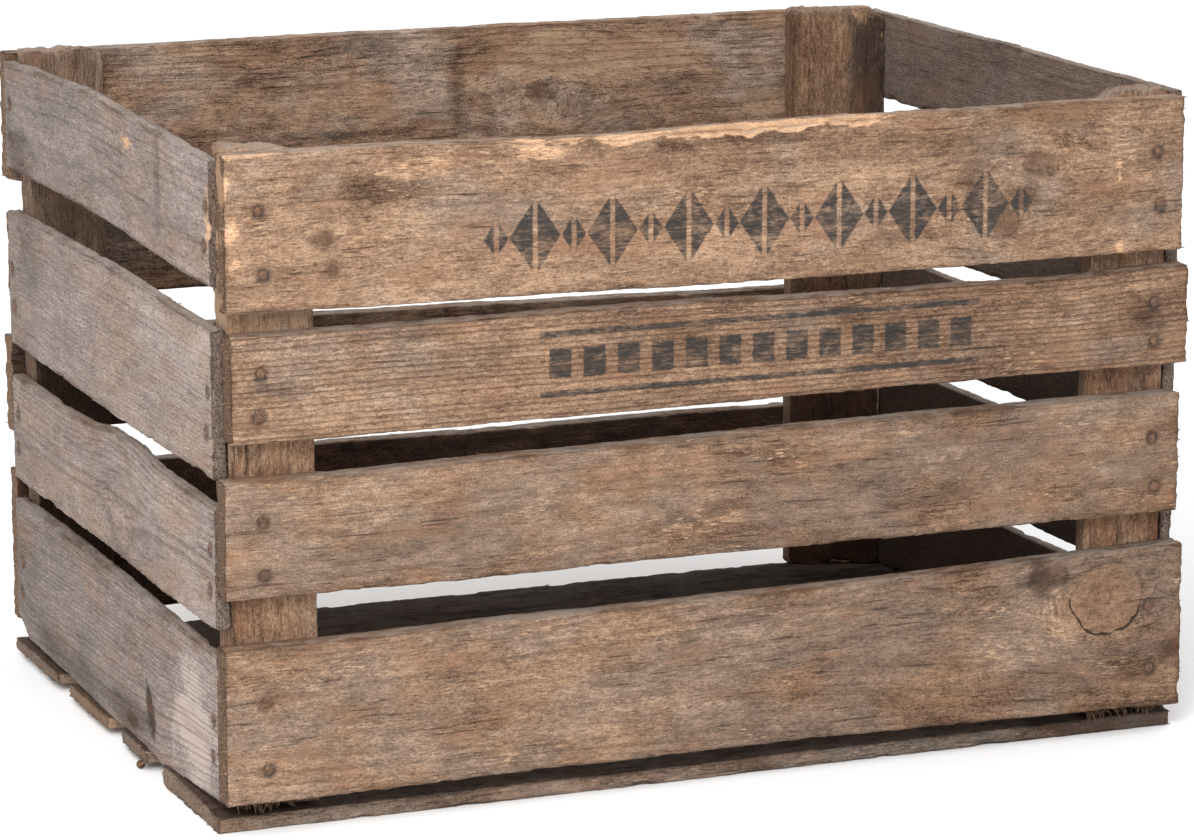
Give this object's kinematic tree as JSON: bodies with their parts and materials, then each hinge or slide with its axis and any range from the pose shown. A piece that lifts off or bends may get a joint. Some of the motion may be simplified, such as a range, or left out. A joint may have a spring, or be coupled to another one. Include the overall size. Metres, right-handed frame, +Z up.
{
  "type": "wooden crate",
  "caption": "Open-topped slatted wooden apple crate: weathered slats nailed round wedge-cut corner posts, on a gapped board floor.",
  "frame": {"origin": "on the ground, under the middle of the crate's box", "axes": "+X along the long sides to the right end, +Y from front to back, +Z up"},
  "size_m": [0.494, 0.37, 0.319],
  "materials": {
    "front_wood": "weathered tan-brown softwood, rough sawn, worn stencil mark",
    "back_wood": "weathered brown softwood, rough sawn",
    "end_wood": "weathered grey-taupe softwood, fine grain",
    "post_wood": "red-brown batten, rough sawn, frayed end grain",
    "floor_wood": "dull brown board, dirty, worn ends",
    "nail_steel": "dull rusty wire nail"
  },
  "bodies": {
    "root": {"front_slat_1": "front_wood", "front_slat_2": "front_wood", "front_slat_3": "front_wood", "front_slat_4": "front_wood", "back_slat_1": "back_wood", "back_slat_2": "back_wood", "back_slat_3": "back_wood", "back_slat_4": "back_wood", "left_slat_1": "end_wood", "left_slat_2": "end_wood", "left_slat_3": "end_wood", "left_slat_4": "end_wood", "right_slat_1": "end_wood", "right_slat_2": "end_wood", "right_slat_3": "end_wood", "right_slat_4": "end_wood", "right_slat_5": "end_wood", "floor_board_1": "floor_wood", "floor_board_2": "floor_wood", "floor_board_3": "floor_wood", "floor_board_4": "floor_wood", "corner_post_front_left": "post_wood", "corner_post_front_right": "post_wood", "corner_post_back_left": "post_wood", "corner_post_back_right": "post_wood", "nail_front_slat_1_left": "nail_steel", "nail_front_slat_1_right": "nail_steel", "nail_front_slat_2_left": "nail_steel", "nail_front_slat_2_right": "nail_steel", "nail_front_slat_3_left": "nail_steel", "nail_front_slat_3_right": "nail_steel", "nail_front_slat_4_left": "nail_steel", "nail_front_slat_4_right": "nail_steel", "nail_back_slat_1_left": "nail_steel", "nail_back_slat_1_right": "nail_steel", "nail_back_slat_2_left": "nail_steel", "nail_back_slat_2_right": "nail_steel", "nail_back_slat_3_left": "nail_steel", "nail_back_slat_3_right": "nail_steel", "nail_back_slat_4_left": "nail_steel", "nail_back_slat_4_right": "nail_steel", "nail_left_slat_1_front": "nail_steel", "nail_left_slat_1_back": "nail_steel", "nail_left_slat_2_front": "nail_steel", "nail_left_slat_2_back": "nail_steel", "nail_left_slat_3_front": "nail_steel", "nail_left_slat_3_back": "nail_steel", "nail_left_slat_4_front": "nail_steel", "nail_left_slat_4_back": "nail_steel", "nail_right_slat_1_front": "nail_steel", "nail_right_slat_1_back": "nail_steel", "nail_right_slat_2_front": "nail_steel", "nail_right_slat_2_back": "nail_steel", "nail_right_slat_3_front": "nail_steel", "nail_right_slat_3_back": "nail_steel", "nail_right_slat_4_front": "nail_steel", "nail_right_slat_4_back": "nail_steel", "nail_right_slat_5_front": "nail_steel", "nail_right_slat_5_back": "nail_steel"}
  },
  "joints": []
}
